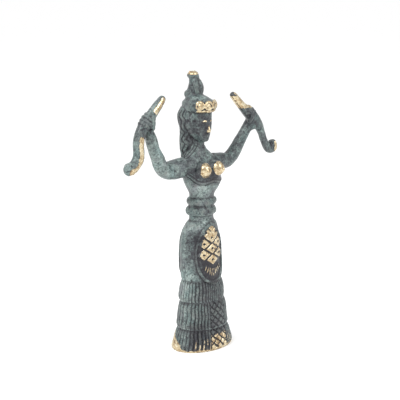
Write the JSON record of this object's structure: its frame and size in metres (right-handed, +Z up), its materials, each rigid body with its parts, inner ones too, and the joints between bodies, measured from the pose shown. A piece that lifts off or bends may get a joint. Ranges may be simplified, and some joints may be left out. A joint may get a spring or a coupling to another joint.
{
  "type": "statuette",
  "caption": "Cast snake goddess statuette: a standing woman in a tiered, pleated skirt with an oval apron and a low cap, holding up a snake in each hand.",
  "frame": {"origin": "centre of the flat underside", "axes": "+Z up along the standing figure, which faces -Y, with her left hand on the +X side"},
  "size_m": [0.0967, 0.0252, 0.1297],
  "materials": {
    "patinated_bronze": "cast, grey-green and dark slate patina, polished brass on the high points"
  },
  "bodies": {
    "root": {"statuette": "patinated_bronze"}
  },
  "joints": []
}
